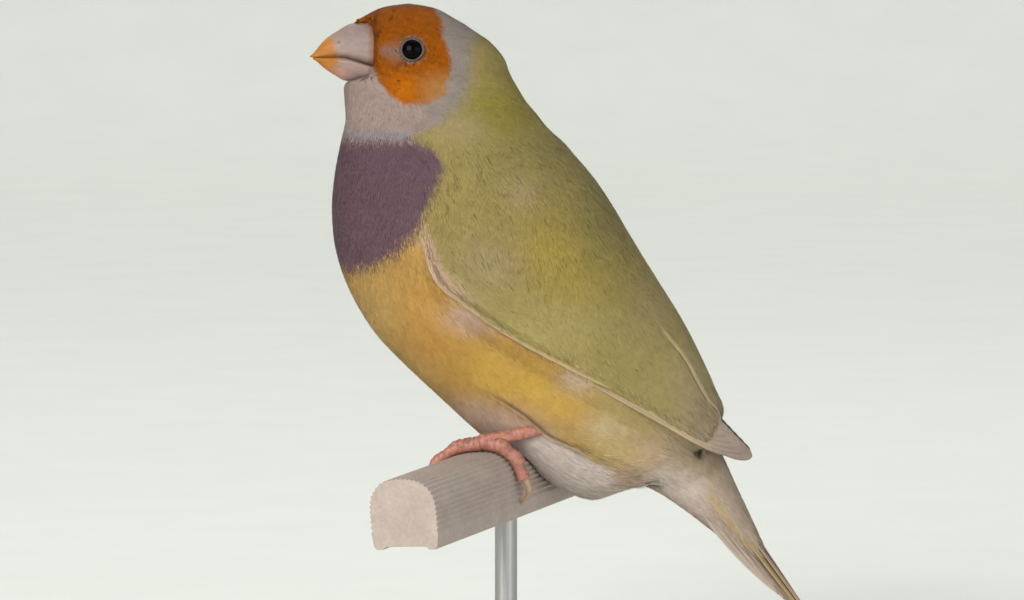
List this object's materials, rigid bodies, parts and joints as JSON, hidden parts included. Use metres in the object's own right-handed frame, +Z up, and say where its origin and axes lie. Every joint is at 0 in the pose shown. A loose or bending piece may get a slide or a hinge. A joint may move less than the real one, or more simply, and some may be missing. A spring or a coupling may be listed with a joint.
{
  "type": "gouldian finch",
  "caption": "Life-size still model of a perched gouldian finch with folded wings and a long pointed tail, gripping a short ribbed perch on a plain rod-and-base display stand.",
  "frame": {"origin": "the middle of the underside of the stand's base, under the rod, with the floor at z = 0", "axes": "+X from the bill towards the tail, +Y from the bird's left towards its right, +Z up; the bird's plane of symmetry is y = 0"},
  "size_m": [0.0976, 0.0699, 0.1193],
  "materials": {
    "plumage_head": "soft orange face feathers, dry and matte",
    "plumage_neck": "soft lilac-white throat and neck feathers",
    "plumage_body": "purple breast above an orange-yellow belly, olive-yellow back",
    "plumage_rump": "white vent feathers and pale yellow-beige rump",
    "plumage_wing": "olive-yellow wing feathers with a pale leading edge",
    "plumage_tail": "pale beige tail feathers with yellowish shafts",
    "bill": "horn, pinkish white with an orange tip",
    "eye": "near black, glossy",
    "leg_skin": "pink scaled skin with tan claws",
    "perch": "pale ribbed wood, cut flat at both ends",
    "stand_metal": "plain brushed steel",
    "stand_base": "plain pale painted wood"
  },
  "bodies": {
    "root": {"head": "plumage_head", "neck": "plumage_neck", "torso": "plumage_body", "rump": "plumage_rump", "tail": "plumage_tail", "wing_left": "plumage_wing", "wing_right": "plumage_wing", "bill_upper": "bill", "bill_lower": "bill", "eye_left": "eye", "eye_right": "eye", "leg_left": "leg_skin", "leg_right": "leg_skin", "foot_left": "leg_skin", "foot_right": "leg_skin", "perch": "perch", "stand_rod": "stand_metal", "stand_base": "stand_base"}
  },
  "joints": []
}
